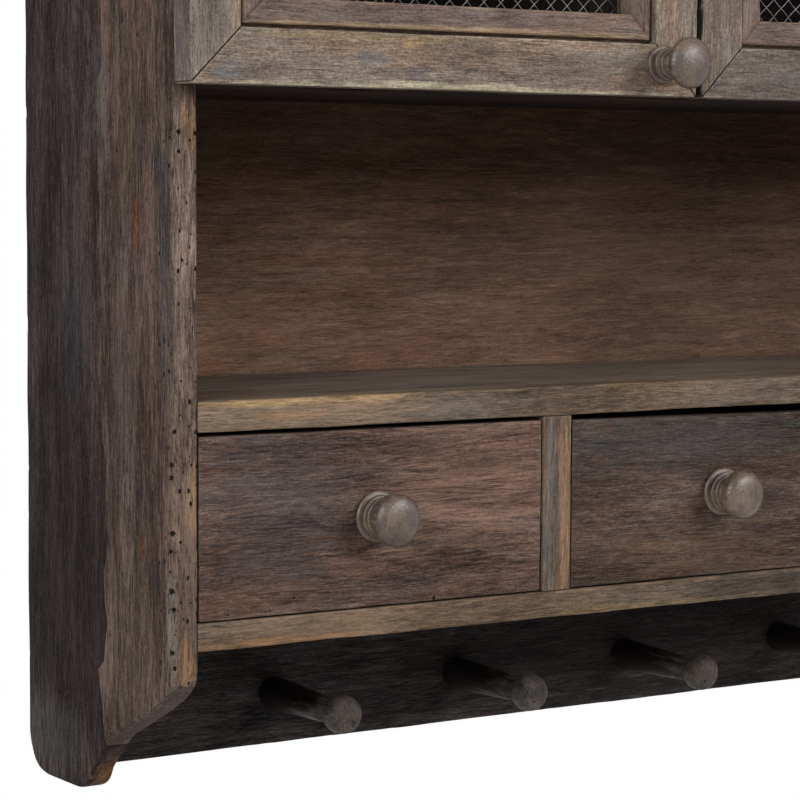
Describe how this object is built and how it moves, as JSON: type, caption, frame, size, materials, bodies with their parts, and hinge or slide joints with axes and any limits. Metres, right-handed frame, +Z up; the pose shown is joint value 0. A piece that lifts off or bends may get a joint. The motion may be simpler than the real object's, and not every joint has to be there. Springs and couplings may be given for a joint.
{
  "type": "kitchen wall cabinet",
  "caption": "Rustic wooden wall cabinet with hinged wire-mesh doors over an open niche, a row of drawers with turned knobs and a peg rail along the wall.",
  "frame": {"origin": "wall face of the back panel, at the middle of the hanging rail", "axes": "+X along the width, to the right as seen from the front; +Y into the wall; +Z up"},
  "size_m": [1.08, 0.2493, 0.7635],
  "materials": {
    "pale_board": "weathered",
    "dark_board": "weathered",
    "brown_board": "weathered",
    "niche_back": "weathered",
    "door_frame": "weathered",
    "door_moulding": "weathered",
    "drawer_front": "weathered",
    "drawer_box": "raw",
    "knob": "waxed",
    "peg": "waxed",
    "steel": "dull",
    "wire": "galvanised"
  },
  "bodies": {
    "cabinet": {"left_side_front_board": "pale_board", "left_side_rear_board": "dark_board", "right_side_front_board": "pale_board", "right_side_rear_board": "dark_board", "top_board": "brown_board", "upper_shelf": "brown_board", "niche_shelf": "brown_board", "bottom_board": "brown_board", "back_panel": "niche_back", "hanging_rail": "brown_board", "bay_partition": "brown_board", "drawer_divider_1": "brown_board", "drawer_divider_2": "brown_board", "drawer_divider_3": "brown_board", "peg_rail": "dark_board", "peg_1": "peg", "peg_2": "peg", "peg_3": "peg", "peg_4": "peg", "peg_5": "peg", "peg_6": "peg", "door_1_lower_hinge": "steel", "door_1_upper_hinge": "steel", "door_2_lower_hinge": "steel", "door_2_upper_hinge": "steel", "door_3_lower_hinge": "steel", "door_3_upper_hinge": "steel"},
    "door_1": {"door_1_left_stile": "door_frame", "door_1_right_stile": "door_frame", "door_1_bottom_rail": "door_frame", "door_1_top_rail": "door_frame", "door_1_moulding": "door_moulding", "door_1_mesh": "wire", "door_1_knob": "knob"},
    "door_2": {"door_2_left_stile": "door_frame", "door_2_right_stile": "door_frame", "door_2_bottom_rail": "door_frame", "door_2_top_rail": "door_frame", "door_2_moulding": "door_moulding", "door_2_mesh": "wire", "door_2_knob": "knob"},
    "door_3": {"door_3_left_stile": "door_frame", "door_3_right_stile": "door_frame", "door_3_bottom_rail": "door_frame", "door_3_top_rail": "door_frame", "door_3_moulding": "door_moulding", "door_3_mesh": "wire", "door_3_knob": "knob"},
    "drawer_1": {"drawer_1_front": "drawer_front", "drawer_1_box": "drawer_box", "drawer_1_knob": "knob"},
    "drawer_2": {"drawer_2_front": "drawer_front", "drawer_2_box": "drawer_box", "drawer_2_knob": "knob"},
    "drawer_3": {"drawer_3_front": "drawer_front", "drawer_3_box": "drawer_box", "drawer_3_knob": "knob"},
    "drawer_4": {"drawer_4_front": "drawer_front", "drawer_4_box": "drawer_box", "drawer_4_knob": "knob"}
  },
  "joints": [
    {"name": "door_1_hinge", "type": "hinge", "parent": "cabinet", "child": "door_1", "pos_m": [-0.531, -0.1938, -0.138], "axis": [0, 0, -1], "range_deg": [0, 170]},
    {"name": "door_2_hinge", "type": "hinge", "parent": "cabinet", "child": "door_2", "pos_m": [-0.17145, -0.2178, -0.138], "axis": [0, 0, -1], "range_deg": [0, 95]},
    {"name": "door_3_hinge", "type": "hinge", "parent": "cabinet", "child": "door_3", "pos_m": [0.531, -0.1938, -0.138], "axis": [0, 0, 1], "range_deg": [0, 170]},
    {"name": "drawer_1_slide", "type": "slide", "parent": "cabinet", "child": "drawer_1", "axis": [0, -1, 0], "range_m": [0, 0.14]},
    {"name": "drawer_2_slide", "type": "slide", "parent": "cabinet", "child": "drawer_2", "axis": [0, -1, 0], "range_m": [0, 0.14]},
    {"name": "drawer_3_slide", "type": "slide", "parent": "cabinet", "child": "drawer_3", "axis": [0, -1, 0], "range_m": [0, 0.14]},
    {"name": "drawer_4_slide", "type": "slide", "parent": "cabinet", "child": "drawer_4", "axis": [0, -1, 0], "range_m": [0, 0.14]}
  ]
}
